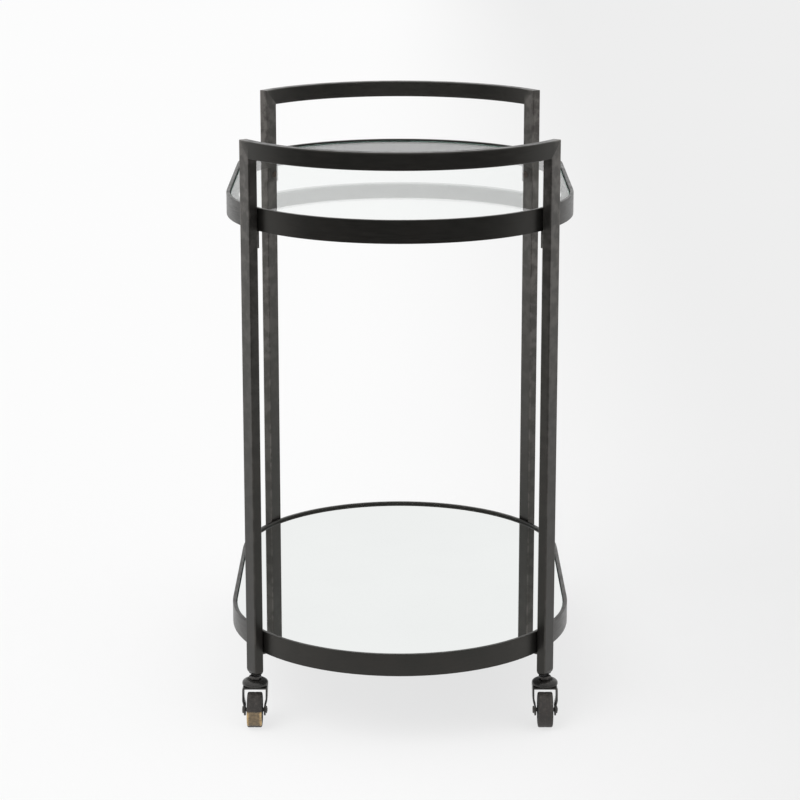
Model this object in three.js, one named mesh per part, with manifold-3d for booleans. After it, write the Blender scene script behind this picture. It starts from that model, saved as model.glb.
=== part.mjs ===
// Two-tier oval bar cart on four swivel castors. Millimetres, +Z up, origin on the floor under the centre.
// The cart's long axis is Y. "Front" is the -Y end and "left" is the -X side.

import * as THREE from 'three';
import { mergeVertices } from 'three/addons/utils/BufferGeometryUtils.js';
import Module from 'manifold-3d';

const wasm = await Module();
wasm.setup();

// Overall sizes
const cartHeight = 838;
const shelfWidth = 492;
const shelfStraight = 236;

// Rectangular tube of the posts and handles
const tubeWide = 24;
const tubeThin = 14;
const tubeWall = 1.5;
const tubeCorner = 2;
const postAngle = THREE.MathUtils.degToRad(54.5);
const mitreGap = 0.3;

// Shelf rings, their glass ledges and their panels
const bandHeight = 32;
const bandWall = 5;
const upperRingTop = 746;
const lowerRingTop = 138;
const panelThickness = 5;
const upperPanelDrop = 2.5;
const lowerPanelDrop = 3.5;
const panelClearance = 1;
const ledgeWidth = 12;
const ledgeThickness = 3;

// Brackets and M6 bolts that hold the rings to the posts
const plateThickness = 3;
const plateWidth = 20;
const earLength = 24;
const tabReach = 35;
const tabBoltInset = 11;
const boltRadius = 3;
const boltHeadRadius = 5.5;
const boltHeadHeight = 4.2;
const boltInPost = 5;

// Castors
const wheelRadius = 25;
const treadHeight = 5;
const treadWidth = 21;
const hubBossWidth = 23;
const hubBossRadius = 8;
const rimThickness = 3;
const webWidth = 8;
const axleRadius = 3;
const axleHeadRadius = 5.2;
const axleHeadHeight = 2.2;
const forkGap = 26;
const forkSheet = 2.4;
const forkTrail = 17;
const forkEyeRadius = 8.5;
const forkTopHalf = 15;
const forkAboveWheel = 4;
const pinRadius = 4;
const pinHeadRadius = 6.5;
const pinHeadHeight = 1.6;
const cupRadius = 18.5;
const cupHeight = 8;
const cupSheet = 2;
const collarRadius = 8;
const collarHeight = 5;
const plugFlange = 2.5;
const plugDepth = 20;
const stemRadius = 3;
const stemLength = 18;

// Fits
const gap = 0.3;
const boltClearance = 0.35;
const runningClearance = 0.4;
const swivelGap = 1;

const shelfRadius = shelfWidth / 2;
const straightHalf = shelfStraight / 2;
const bandInner = shelfRadius - bandWall;
const postRadius = shelfRadius + gap + tubeThin / 2;
const tabBoltRadius = shelfRadius - tabReach + tabBoltInset;
const wheelTop = 2 * wheelRadius;
const forkPlateBottom = wheelTop + forkAboveWheel;
const forkPlateTop = forkPlateBottom + forkSheet;
const cupBottom = forkPlateTop + swivelGap;
const cupTop = cupBottom + cupHeight;
const collarTop = cupTop + gap + collarHeight;
const postFoot = collarTop + gap + plugFlange + gap;
const lowerBandBottom = lowerRingTop - bandHeight;
const upperBandBottom = upperRingTop - bandHeight;

const blackMetal = new THREE.MeshStandardMaterial({ color: 0x2b2a28, roughness: 0.42, metalness: 0.75 });
const darkSteel = new THREE.MeshStandardMaterial({ color: 0x1d1c1b, roughness: 0.35, metalness: 0.85 });
const boltSteel = new THREE.MeshStandardMaterial({ color: 0x3a332d, roughness: 0.4, metalness: 0.9 });
const clearGlass = new THREE.MeshStandardMaterial({
  color: 0xe6eeea, roughness: 0.05, metalness: 0, transparent: true, opacity: 0.3,
});
const mirrorGlass = new THREE.MeshStandardMaterial({ color: 0xdfe3e2, roughness: 0.03, metalness: 1 });
const blackPlastic = new THREE.MeshStandardMaterial({ color: 0x151515, roughness: 0.5, metalness: 0 });
const blackRubber = new THREE.MeshStandardMaterial({ color: 0x1b1917, roughness: 0.75, metalness: 0 });

const group = new THREE.Group();

function addMesh(parent, name, geometry, material) {
  const mesh = new THREE.Mesh(geometry, material);
  mesh.name = name;
  parent.add(mesh);
  return mesh;
}

// Booleans

function toSolid(geometry) {
  const bare = geometry.clone();
  bare.deleteAttribute('normal');
  bare.deleteAttribute('uv');
  const merged = mergeVertices(bare, 1e-4);
  return new wasm.Manifold(new wasm.Mesh({
    numProp: 3,
    vertProperties: new Float32Array(merged.attributes.position.array),
    triVerts: new Uint32Array(merged.index.array),
  }));
}

function toGeometry(solid) {
  const mesh = solid.getMesh();
  const geometry = new THREE.BufferGeometry();
  geometry.setAttribute('position', new THREE.BufferAttribute(new Float32Array(mesh.vertProperties), 3));
  geometry.setIndex(new THREE.BufferAttribute(new Uint32Array(mesh.triVerts), 1));
  geometry.computeVertexNormals();
  return geometry;
}

// Outlines and basic solids

function stadium(radius) {
  const shape = new THREE.Shape();
  shape.absarc(0, straightHalf, radius, 0, Math.PI);
  shape.absarc(0, -straightHalf, radius, Math.PI, 2 * Math.PI);
  shape.closePath();
  return shape;
}

function roundedRectangle(width, height, radius) {
  const x = width / 2 - radius;
  const y = height / 2 - radius;
  const shape = new THREE.Shape();
  shape.absarc(x, y, radius, 0, Math.PI / 2);
  shape.absarc(-x, y, radius, Math.PI / 2, Math.PI);
  shape.absarc(-x, -y, radius, Math.PI, 1.5 * Math.PI);
  shape.absarc(x, -y, radius, 1.5 * Math.PI, 2 * Math.PI);
  shape.closePath();
  return shape;
}

function extrudeUp(shape, bottom, height, curveSegments) {
  const geometry = new THREE.ExtrudeGeometry(shape, { depth: height, bevelEnabled: false, curveSegments });
  return geometry.translate(0, 0, bottom);
}

// Turns a list of [radius, height] points about the Z axis.
function turned(points, segments) {
  const profile = points.map(([radius, height]) => new THREE.Vector2(radius, height));
  return new THREE.LatheGeometry(profile, segments).rotateX(Math.PI / 2);
}

function cylinderUp(radius, bottom, height, segments) {
  const geometry = new THREE.CylinderGeometry(radius, radius, height, segments);
  return geometry.rotateX(Math.PI / 2).translate(0, 0, bottom + height / 2);
}

function tubeSection(wide, thin) {
  const shape = roundedRectangle(wide, thin, tubeCorner);
  const x = wide / 2 - tubeWall;
  const y = thin / 2 - tubeWall;
  const corners = [[-x, -y], [-x, y], [x, y], [x, -y]];
  shape.holes.push(new THREE.Path(corners.map(([cx, cy]) => new THREE.Vector2(cx, cy))));
  return shape;
}

// The 45 degree mitre plane between a post and its handle, as a cutting block on one side of the plane.
// It rises along Y in the direction of `rise`; `half` is +1 for a block above it and -1 for one below it.
function mitreBlock(rise, half) {
  const size = 120;
  const block = new THREE.BoxGeometry(size, size, size);
  block.translate(0, 0, half * (size - mitreGap) / 2);
  block.rotateX(rise * Math.PI / 4);
  return block.translate(0, 0, cartHeight - tubeWide / 2);
}

// Shelves

const arcSegments = 18;

function ringBand(top) {
  const shape = stadium(shelfRadius);
  shape.holes.push(stadium(bandInner));
  return extrudeUp(shape, top - bandHeight, bandHeight, arcSegments);
}

function ledgeTop(ringTop, drop) {
  return ringTop - drop - panelThickness - gap;
}

function plainLedge(top) {
  const shape = stadium(bandInner - gap);
  shape.holes.push(stadium(bandInner - gap - ledgeWidth));
  return extrudeUp(shape, top - ledgeThickness, ledgeThickness, arcSegments);
}

function panel(ringTop, drop) {
  const shape = stadium(bandInner - panelClearance);
  return extrudeUp(shape, ringTop - drop - panelThickness, panelThickness, arcSegments);
}

// A flat plate lying along local X, square at its outer end and round at its inner end, with a bolt hole.
function lugPlate(outer, thickness, bottom) {
  const half = plateWidth / 2;
  const shape = new THREE.Shape();
  shape.moveTo(outer, -half);
  shape.lineTo(outer, half);
  shape.lineTo(tabBoltRadius, half);
  shape.absarc(tabBoltRadius, 0, half, Math.PI / 2, 1.5 * Math.PI);
  shape.closePath();
  const hole = new THREE.Path();
  hole.absarc(tabBoltRadius, 0, boltRadius + boltClearance, 0, 2 * Math.PI, true);
  shape.holes.push(hole);
  return extrudeUp(shape, bottom, thickness, 6);
}

const corners = [];
for (const end of [-1, 1]) {
  for (const side of [-1, 1]) {
    corners.push({
      name: `${end < 0 ? 'front' : 'rear'}_${side < 0 ? 'left' : 'right'}`,
      end,
      side,
      turn: Math.atan2(end * Math.cos(postAngle), side * Math.sin(postAngle)),
      x: side * postRadius * Math.sin(postAngle),
      y: end * (straightHalf + postRadius * Math.cos(postAngle)),
      rise: -end * side,
    });
  }
}

// The lower ledge carries a lug for the bolt of each corner tab.
function luggedLedge(top) {
  let solid = toSolid(plainLedge(top));
  const bottom = top - ledgeThickness;
  for (const corner of corners) {
    const lug = lugPlate(bandInner - ledgeWidth / 2, ledgeThickness, bottom);
    lug.rotateZ(corner.turn).translate(0, corner.end * straightHalf, 0);
    solid = solid.add(toSolid(lug));
  }
  return toGeometry(solid);
}

const lowerLedgeTop = ledgeTop(lowerRingTop, lowerPanelDrop);
const upperLedgeTop = ledgeTop(upperRingTop, upperPanelDrop);
addMesh(group, 'upper_ring', ringBand(upperRingTop), blackMetal);
addMesh(group, 'lower_ring', ringBand(lowerRingTop), blackMetal);
addMesh(group, 'upper_glass_ledge', plainLedge(upperLedgeTop), blackMetal);
addMesh(group, 'lower_mirror_ledge', luggedLedge(lowerLedgeTop), blackMetal);
addMesh(group, 'upper_glass', panel(upperRingTop, upperPanelDrop), clearGlass);
addMesh(group, 'lower_mirror', panel(lowerRingTop, lowerPanelDrop), mirrorGlass);

// Posts, in a frame whose X points out from the centre of the cart's rounded end.

const earBoltHeight = upperBandBottom - gap - earLength / 2;

function post(rise) {
  const section = tubeSection(tubeThin, tubeWide);
  const tube = toSolid(extrudeUp(section, postFoot, cartHeight - postFoot, 2));
  const above = toSolid(mitreBlock(rise, 1));
  const boltHole = new THREE.CylinderGeometry(
    boltRadius + boltClearance, boltRadius + boltClearance, tubeThin, 12,
  );
  boltHole.rotateZ(Math.PI / 2).translate(-tubeThin / 2, 0, earBoltHeight);
  return toGeometry(tube.subtract(above).subtract(toSolid(boltHole)));
}

// A bolt with a domed head. It stands along +Z with the underside of its head at the origin.
function domedBolt(length) {
  const points = [[0, -boltHeadHeight]];
  for (let step = 1; step <= 3; step += 1) {
    const angle = step * Math.PI / 6;
    points.push([boltHeadRadius * Math.sin(angle), -boltHeadHeight * Math.cos(angle)]);
  }
  points.push([boltRadius, 0], [boltRadius, length], [0, length]);
  return turned(points, 12);
}

function ear() {
  const plate = new THREE.BoxGeometry(plateThickness, plateWidth, earLength);
  plate.translate(shelfRadius - plateThickness / 2, 0, earBoltHeight);
  const hole = new THREE.CylinderGeometry(
    boltRadius + boltClearance, boltRadius + boltClearance, 4 * plateThickness, 12,
  );
  hole.rotateZ(Math.PI / 2).translate(shelfRadius, 0, earBoltHeight);
  return toGeometry(toSolid(plate).subtract(toSolid(hole)));
}

const tabTop = lowerBandBottom - gap;
const tabBottom = tabTop - plateThickness;

for (const corner of corners) {
  const frame = new THREE.Group();
  frame.position.y = corner.end * straightHalf;
  frame.rotation.z = corner.turn;
  group.add(frame);

  const tube = addMesh(frame, `post_${corner.name}`, post(corner.rise), blackMetal);
  tube.position.x = postRadius;

  addMesh(frame, `ring_ear_${corner.name}`, ear(), blackMetal);
  const earBolt = domedBolt(plateThickness + gap + boltInPost);
  earBolt.rotateY(Math.PI / 2).translate(shelfRadius - plateThickness - gap, 0, earBoltHeight);
  addMesh(frame, `ear_bolt_${corner.name}`, earBolt, boltSteel);

  addMesh(frame, `ring_tab_${corner.name}`, lugPlate(shelfRadius, plateThickness, tabBottom), blackMetal);
  const tabBolt = domedBolt(lowerLedgeTop - gap - (tabBottom - gap));
  tabBolt.translate(tabBoltRadius, 0, tabBottom - gap);
  addMesh(frame, `tab_bolt_${corner.name}`, tabBolt, boltSteel);
}

// Handles: the same tube bent round the cart's end and mitred onto its two posts.

class HandleCurve extends THREE.Curve {
  constructor(end) {
    super();
    this.end = end;
    this.arcEnd = postAngle - Math.asin(tubeWide / 2 / postRadius);
    this.tail = tubeWide + 4;
    this.arcShare = this.arcEnd * postRadius / (this.arcEnd * postRadius + this.tail);
  }

  getPoint(t, target = new THREE.Vector3()) {
    const along = 2 * t - 1;
    const side = Math.sign(along);
    const onArc = Math.min(Math.abs(along) / this.arcShare, 1);
    const beyond = Math.max(Math.abs(along) - this.arcShare, 0) / (1 - this.arcShare) * this.tail;
    const angle = onArc * this.arcEnd;
    const x = postRadius * Math.sin(angle) + beyond * Math.cos(postAngle);
    const y = postRadius * Math.cos(angle) - beyond * Math.sin(postAngle);
    return target.set(side * x, this.end * (straightHalf + y), cartHeight - tubeWide / 2);
  }
}

function handle(end) {
  const sweep = new THREE.ExtrudeGeometry(tubeSection(tubeWide, tubeThin), {
    steps: 24, curveSegments: 2, extrudePath: new HandleCurve(end),
  });
  let solid = toSolid(sweep);
  for (const corner of corners.filter((each) => each.end === end)) {
    const below = mitreBlock(corner.rise, -1).translate(postRadius, 0, 0);
    below.rotateZ(corner.turn).translate(0, end * straightHalf, 0);
    solid = solid.subtract(toSolid(below));
  }
  return toGeometry(solid);
}

addMesh(group, 'handle_front', handle(-1), blackMetal);
addMesh(group, 'handle_rear', handle(1), blackMetal);

// Castors. Each stands under its post with the wheel trailing towards the front.

function footPlug() {
  const bore = runningClearance + stemRadius;
  const flange = roundedRectangle(tubeThin - 1, tubeWide - 1, tubeCorner);
  const body = roundedRectangle(tubeThin - 2 * (tubeWall + gap), tubeWide - 2 * (tubeWall + gap), tubeWall / 2);
  const bottom = postFoot - gap - plugFlange;
  const solid = toSolid(extrudeUp(flange, bottom, plugFlange, 2))
    .add(toSolid(extrudeUp(body, bottom + plugFlange / 2, plugDepth, 1)))
    .subtract(toSolid(cylinderUp(bore, bottom - 1, plugDepth + 2 * plugFlange, 12)));
  return toGeometry(solid);
}

function castorStem() {
  const headTop = forkPlateBottom - gap;
  return turned([
    [0, headTop - pinHeadHeight],
    [pinHeadRadius - 1, headTop - pinHeadHeight],
    [pinHeadRadius, headTop],
    [pinRadius, headTop],
    [pinRadius, cupTop + gap],
    [collarRadius, cupTop + gap],
    [collarRadius, collarTop - 1],
    [collarRadius - 1, collarTop],
    [stemRadius, collarTop],
    [stemRadius, collarTop + stemLength],
    [0, collarTop + stemLength],
  ], 12);
}

function swivelCup() {
  const bore = pinRadius + gap;
  const shoulder = cupTop - cupHeight / 2;
  return turned([
    [bore, cupTop - cupSheet],
    [collarRadius, cupTop - cupSheet],
    [cupRadius - cupSheet, shoulder - cupSheet],
    [cupRadius - cupSheet, cupBottom],
    [cupRadius, cupBottom],
    [cupRadius, shoulder],
    [collarRadius + 1, cupTop],
    [bore, cupTop],
    [bore, cupTop - cupSheet],
  ], 16);
}

function forkLeg() {
  const shape = new THREE.Shape();
  shape.moveTo(-forkTopHalf, forkPlateTop);
  shape.lineTo(-forkTrail - forkEyeRadius, wheelRadius);
  shape.absarc(-forkTrail, wheelRadius, forkEyeRadius, Math.PI, 2 * Math.PI);
  shape.lineTo(forkTopHalf, forkPlateBottom);
  shape.lineTo(forkTopHalf, forkPlateTop);
  shape.closePath();
  const hole = new THREE.Path();
  hole.absarc(-forkTrail, wheelRadius, axleRadius + runningClearance, 0, 2 * Math.PI, true);
  shape.holes.push(hole);
  const leg = new THREE.ExtrudeGeometry(shape, { depth: forkSheet, bevelEnabled: false, curveSegments: 6 });
  return leg.rotateY(Math.PI / 2).rotateX(Math.PI / 2);
}

function fork() {
  const plateShape = roundedRectangle(forkGap + forkSheet, 2 * forkTopHalf, 1);
  let solid = toSolid(extrudeUp(plateShape, forkPlateBottom, forkSheet, 2));
  for (const start of [forkGap / 2, -forkGap / 2 - forkSheet]) {
    solid = solid.add(toSolid(forkLeg().translate(start, 0, 0)));
  }
  const bore = cylinderUp(pinRadius + runningClearance, forkPlateBottom - 1, forkSheet + 2, 12);
  return toGeometry(solid.subtract(toSolid(bore)));
}

// Turned pieces whose axis is the wheel's axle.
function onAxle(geometry) {
  return geometry.rotateY(Math.PI / 2).translate(0, -forkTrail, wheelRadius);
}

function axle() {
  const shoulder = forkGap / 2 + forkSheet + gap;
  return onAxle(turned([
    [0, -shoulder - axleHeadHeight],
    [axleHeadRadius - 1, -shoulder - axleHeadHeight],
    [axleHeadRadius, -shoulder],
    [axleRadius, -shoulder],
    [axleRadius, shoulder],
    [axleHeadRadius, shoulder],
    [axleHeadRadius - 1, shoulder + axleHeadHeight],
    [0, shoulder + axleHeadHeight],
  ], 12));
}

const wheelSegments = 20;

function wheelHub() {
  const bore = axleRadius + runningClearance;
  const rimOuter = wheelRadius - treadHeight - gap;
  const rimInner = rimOuter - rimThickness;
  const boss = hubBossWidth / 2;
  const web = webWidth / 2;
  const rim = treadWidth / 2 - 1;
  return onAxle(turned([
    [bore, -boss], [hubBossRadius, -boss], [hubBossRadius, -web], [rimInner, -web],
    [rimOuter, -rim], [rimOuter, rim], [rimInner, web],
    [hubBossRadius, web], [hubBossRadius, boss], [bore, boss], [bore, -boss],
  ], wheelSegments));
}

function tread() {
  const inner = wheelRadius - treadHeight;
  const half = treadWidth / 2;
  const shoulder = 1.5;
  return onAxle(turned([
    [inner, -half], [wheelRadius - shoulder, -half], [wheelRadius, -half + shoulder],
    [wheelRadius, half - shoulder], [wheelRadius - shoulder, half], [inner, half], [inner, -half],
  ], wheelSegments));
}

for (const corner of corners) {
  const castor = new THREE.Group();
  castor.position.set(corner.x, corner.y, 0);
  group.add(castor);
  const plug = addMesh(castor, `foot_plug_${corner.name}`, footPlug(), blackPlastic);
  plug.rotation.z = corner.turn;
  addMesh(castor, `castor_stem_${corner.name}`, castorStem(), darkSteel);
  addMesh(castor, `castor_cup_${corner.name}`, swivelCup(), darkSteel);
  addMesh(castor, `castor_fork_${corner.name}`, fork(), darkSteel);
  addMesh(castor, `castor_axle_${corner.name}`, axle(), darkSteel);
  addMesh(castor, `castor_hub_${corner.name}`, wheelHub(), blackPlastic);
  addMesh(castor, `castor_tread_${corner.name}`, tread(), blackRubber);
}

export default group;
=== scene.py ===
import math

import bmesh
import bpy
from bpy.props import FloatProperty, FloatVectorProperty, IntProperty, PointerProperty
from mathutils import Matrix, Vector


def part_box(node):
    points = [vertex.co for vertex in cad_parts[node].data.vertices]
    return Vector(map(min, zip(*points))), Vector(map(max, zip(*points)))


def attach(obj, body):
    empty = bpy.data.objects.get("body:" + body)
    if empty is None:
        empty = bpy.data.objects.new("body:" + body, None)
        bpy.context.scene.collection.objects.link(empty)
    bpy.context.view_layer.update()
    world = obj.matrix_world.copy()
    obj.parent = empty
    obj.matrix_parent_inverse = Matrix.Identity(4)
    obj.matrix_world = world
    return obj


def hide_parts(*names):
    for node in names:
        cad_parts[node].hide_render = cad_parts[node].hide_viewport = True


bl_info = {
    "name": "Oval bar cart",
    "version": (1, 0, 0),
    "blender": (4, 5, 0),
    "location": "View3D > Sidebar > Bar Cart",
    "description": "Builds a two-tier oval bar cart on castors round its packed frame",
    "category": "Add Mesh",
}

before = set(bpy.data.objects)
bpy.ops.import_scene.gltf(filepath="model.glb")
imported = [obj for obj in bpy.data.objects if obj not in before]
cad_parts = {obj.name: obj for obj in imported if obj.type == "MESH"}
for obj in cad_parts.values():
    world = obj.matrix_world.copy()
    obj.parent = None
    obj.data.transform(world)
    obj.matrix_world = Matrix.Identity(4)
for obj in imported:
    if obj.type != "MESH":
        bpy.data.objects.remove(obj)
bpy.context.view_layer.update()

MM = 0.001
UPPER_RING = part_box("upper_ring")
LOWER_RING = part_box("lower_ring")
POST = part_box("post_front_left")
UPPER_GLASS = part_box("upper_glass")
LOWER_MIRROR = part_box("lower_mirror")
UPPER_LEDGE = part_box("upper_glass_ledge")
LOWER_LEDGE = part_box("lower_mirror_ledge")
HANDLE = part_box("handle_front")
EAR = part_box("ring_ear_front_left")
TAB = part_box("ring_tab_front_left")
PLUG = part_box("foot_plug_front_left")
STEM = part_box("castor_stem_front_left")
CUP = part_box("castor_cup_front_left")
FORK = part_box("castor_fork_front_left")
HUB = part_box("castor_hub_front_left")
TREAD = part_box("castor_tread_front_left")

SHELF_RADIUS = UPPER_RING[1].x
STRAIGHT_HALF = UPPER_RING[1].y - UPPER_RING[1].x
POST_X = -(POST[0].x + POST[1].x) / 2
POST_Y = -(POST[0].y + POST[1].y) / 2
POST_RADIUS = math.hypot(POST_X, POST_Y - STRAIGHT_HALF)
POST_ANGLE = math.atan2(POST_X, POST_Y - STRAIGHT_HALF)
WHEEL_RADIUS = TREAD[1].z / 2
TRAIL = -(TREAD[0].y + TREAD[1].y) / 2 - POST_Y
EAR_BOLT_Z = (EAR[0].z + EAR[1].z) / 2
TAB_BOLT_RADIUS = SHELF_RADIUS - 24 * MM

CORNERS = [
    (f"{'front' if end < 0 else 'rear'}_{'left' if side < 0 else 'right'}", end, side)
    for end in (-1, 1) for side in (-1, 1)
]
END_STEPS = 48
SMOOTH_ANGLE = math.radians(34)


def corner_nodes(stem):
    return [f"{stem}_{name}" for name, _, _ in CORNERS]


# Sizes and colours that a user would change


def length(name, description, default, top=2.0):
    return FloatProperty(
        name=name, description=description, default=default, min=0.0, max=top,
        subtype="DISTANCE", unit="LENGTH",
    )


def colour(name, description, default):
    return FloatVectorProperty(
        name=name, description=description, default=default, size=3, min=0.0, max=1.0,
        subtype="COLOR",
    )


def share(name, description, default, top=1.0):
    return FloatProperty(
        name=name, description=description, default=default, min=0.0, max=top, subtype="FACTOR",
    )


class BARCART_Sizes(bpy.types.PropertyGroup):
    band_wall: length("Band wall", "Thickness of the shelf bands", 5 * MM)
    band_soft: length("Band edge", "Rounding on the long edges of the bands", 0.7 * MM)
    tube_wide: length("Tube width", "Wide side of the post and handle tube", 24 * MM)
    tube_thin: length("Tube depth", "Narrow side of the post and handle tube", 14 * MM)
    tube_corner: length("Tube corner", "Outer corner radius of the tube", 1.7 * MM)
    tube_wall: length("Tube wall", "Wall of the tube", 1.5 * MM)
    foot_taper: length("Foot taper", "How far the post draws in at its foot", 2.2 * MM)
    glass_arris: length("Glass arris", "Ground edge of the two panels", 0.7 * MM)
    bolt_head: length("Bolt head", "Radius of the domed bolt heads", 5.5 * MM)
    hub_ribs: IntProperty(
        name="Hub ribs", description="Ribs on each side of a wheel hub", default=6, min=3, max=16,
    )


class BARCART_Finishes(bpy.types.PropertyGroup):
    frame_colour: colour("Frame", "Satin black of the metal frame", (0.036, 0.035, 0.032))
    frame_warm: colour("Frame, warm", "Browner tone in the brushed frame", (0.044, 0.040, 0.036))
    frame_rough: share("Frame roughness", "Roughness of the metal frame", 0.36)
    castor_colour: colour(
        "Castor steel", "Dark plated steel of the castors", (0.030, 0.029, 0.028),
    )
    bolt_colour: colour("Bolt steel", "Browned steel of the bolts", (0.095, 0.060, 0.042))
    glass_tint: colour("Glass", "Tint of the clear shelf", (0.955, 0.975, 0.965))
    glass_edge: colour("Glass edge", "Green seen through the ground edge", (0.30, 0.46, 0.40))
    mirror_tint: colour("Mirror", "Silvering of the lower shelf", (0.915, 0.935, 0.925))
    rubber_colour: colour("Tread", "Black rubber of the wheels", (0.024, 0.021, 0.019))
    # Colour of the painted light patch on the front-left tread.
    painted_light_colour: colour("Worn tread", "Bronze tone of a worn tread", (0.205, 0.150, 0.088))
    plastic_colour: colour("Plastic", "Moulded black plastic", (0.016, 0.016, 0.016))
    floor_colour: colour(
        "Floor", "Part of the floor's tone that takes shadows", (0.19, 0.19, 0.19),
    )
    floor_glow: colour(
        "Floor glow", "Part of the floor's tone that shows even in shadow", (0.73, 0.73, 0.73),
    )


# Mesh building


def loop_skin(bm, loops, closed=False, caps=True):
    """Joins a row of equal point loops with quads, and closes its ends or joins them up."""
    rings = [[bm.verts.new(point) for point in loop] for loop in loops]
    count = len(rings[0])
    pairs = list(zip(rings, rings[1:]))
    if closed:
        pairs.append((rings[-1], rings[0]))
    for low, high in pairs:
        for i in range(count):
            j = (i + 1) % count
            bm.faces.new((low[i], low[j], high[j], high[i]))
    if caps and not closed:
        bm.faces.new(rings[0])
        bm.faces.new(rings[-1])


EDGE_STRIP = 0.7 * MM
HOLE_RADIUS = 3.35 * MM
LUG_HALF = 10 * MM
SEAT_GAP = 0.3 * MM
FORK_EYE = 8.5 * MM


def rounded_rectangle(width, height, radius, steps=4):
    """Points round a rectangle.

    A narrow strip beside each corner keeps the wear to the edges."""
    x, y = width / 2 - radius, height / 2 - radius
    points = []
    for quarter, (across, up) in enumerate(((1, 1), (-1, 1), (-1, -1), (1, -1))):
        arc = []
        for step in range(steps + 1):
            angle = (quarter + step / steps) * math.pi / 2
            arc.append((across * x + radius * math.cos(angle), up * y + radius * math.sin(angle)))
        strip_x, strip_y = min(EDGE_STRIP, x / 2), min(EDGE_STRIP, y / 2)
        side = (arc[0][0], up * (y - strip_y)) if quarter % 2 == 0 else (
            across * (x - strip_x), arc[0][1],
        )
        end = (
            across * (x - strip_x), arc[-1][1],
        ) if quarter % 2 == 0 else (arc[-1][0], up * (y - strip_y))
        points += [side, *arc, end]
    return points


def end_stations(steps=END_STEPS):
    """Centre and angle of every station round the oval, one rounded end after the other."""
    turn = [math.pi * i / steps for i in range(steps + 1)]
    return [(STRAIGHT_HALF, a) for a in turn] + [(-STRAIGHT_HALF, math.pi + a) for a in turn]


def oval_loop(radius, z):
    return [(radius * math.cos(a), y + radius * math.sin(a), z) for y, a in end_stations()]


def oval_band(bm, inner, outer, bottom, top, soft):
    """A band of rounded rectangular section that runs round the oval."""
    section = [
        ((inner + outer) / 2 + x, (bottom + top) / 2 + z)
        for x, z in rounded_rectangle(outer - inner, top - bottom, soft, 3)
    ]
    loops = [
        [(r * math.cos(a), y + r * math.sin(a), z) for r, z in section]
        for y, a in end_stations()
    ]
    loop_skin(bm, loops, closed=True)


def hexagon_factor(angle):
    return 1 / math.cos((angle + math.pi / 6) % (math.pi / 3) - math.pi / 6)


def turned(bm, profile, steps=32, place=Matrix(), six_sided=(), closed=False):
    """Turns a list of (radius, height) about Z. The points numbered in six_sided lie on a hexagon."""
    loops = []
    for number, (radius, height) in enumerate(profile):
        loop = []
        for i in range(steps):
            angle = 2 * math.pi * i / steps
            reach = radius * hexagon_factor(angle) if number in six_sided else radius
            loop.append(place @ Vector((reach * math.cos(angle), reach * math.sin(angle), height)))
        loops.append(loop)
    loop_skin(bm, loops, closed=closed)


def drilled_plate(bm, outline, hole, bottom, top, place=Matrix()):
    """A flat plate with a round hole. Its outline and hole are loops of (x, y)."""
    flat = [bm.verts.new(place @ Vector((x, y, bottom))) for x, y in outline + hole]
    raised = [bm.verts.new(place @ Vector((x, y, top))) for x, y in outline + hole]
    edges = []
    for start, count in ((0, len(outline)), (len(outline), len(hole))):
        for i in range(count):
            a, b = start + i, start + (i + 1) % count
            edges.append(bm.edges.new((flat[a], flat[b])))
            bm.faces.new((flat[a], flat[b], raised[b], raised[a]))
    number = {vert: i for i, vert in enumerate(flat)}
    filled = bmesh.ops.triangle_fill(bm, use_beauty=True, use_dissolve=False, edges=edges)
    for face in [f for f in filled["geom"] if isinstance(f, bmesh.types.BMFace)]:
        bm.faces.new([raised[number[vert]] for vert in reversed(face.verts)])


def circle(x, y, radius, steps=24):
    return [
        (
            x + radius * math.cos(2 * math.pi * i / steps),
            y + radius * math.sin(2 * math.pi * i / steps),
        )
        for i in range(steps)
    ]


def lug_outline(outer, centre, half, steps=12):
    """Square at its outer end and round about its bolt."""
    points = [(outer, -half), (outer, half)]
    for i in range(steps + 1):
        angle = math.pi / 2 + math.pi * i / steps
        points.append((centre + half * math.cos(angle), half * math.sin(angle)))
    return points


def corner_place(end, side):
    """Puts local X along the line that points out through a post, with the height unchanged."""
    turn = math.atan2(end * math.cos(POST_ANGLE), side * math.sin(POST_ANGLE))
    return Matrix.Translation((0, end * STRAIGHT_HALF, 0)) @ Matrix.Rotation(turn, 4, "Z")


def castor_place(end, side):
    return Matrix.Translation((side * POST_X, end * POST_Y, 0))


AXLE_PLACE = Matrix.Translation((0, -TRAIL, WHEEL_RADIUS)) @ Matrix.Rotation(math.pi / 2, 4, "Y")


def make_object(name, bm, *materials):
    bmesh.ops.recalc_face_normals(bm, faces=bm.faces)
    mesh = bpy.data.meshes.new(name)
    bm.to_mesh(mesh)
    bm.free()
    for material in materials:
        mesh.materials.append(material)
    piece = bpy.data.objects.new(name, mesh)
    bpy.context.scene.collection.objects.link(piece)
    shade(piece)
    return piece


def shade(piece):
    piece.data.polygons.foreach_set("use_smooth", [True] * len(piece.data.polygons))
    piece.data.set_sharp_from_angle(angle=SMOOTH_ANGLE)


def made_plain(piece):
    """Turns what the modifiers make into the piece's own mesh."""
    depsgraph = bpy.context.evaluated_depsgraph_get()
    mesh = bpy.data.meshes.new_from_object(piece.evaluated_get(depsgraph), depsgraph=depsgraph)
    piece.modifiers.clear()
    old, piece.data = piece.data, mesh
    bpy.data.meshes.remove(old)
    mesh.name = piece.name
    if not mesh.polygons:
        raise RuntimeError(f"{piece.name} came out empty")
    return piece


def softened(piece, width, segments=2):
    """Rounds the sharp edges of a piece."""
    bevel = piece.modifiers.new("Soft edges", "BEVEL")
    bevel.width = width
    bevel.segments = segments
    bevel.limit_method = "ANGLE"
    bevel.angle_limit = math.radians(40)
    bevel.use_clamp_overlap = True
    made_plain(piece)
    shade(piece)
    return piece


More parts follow.
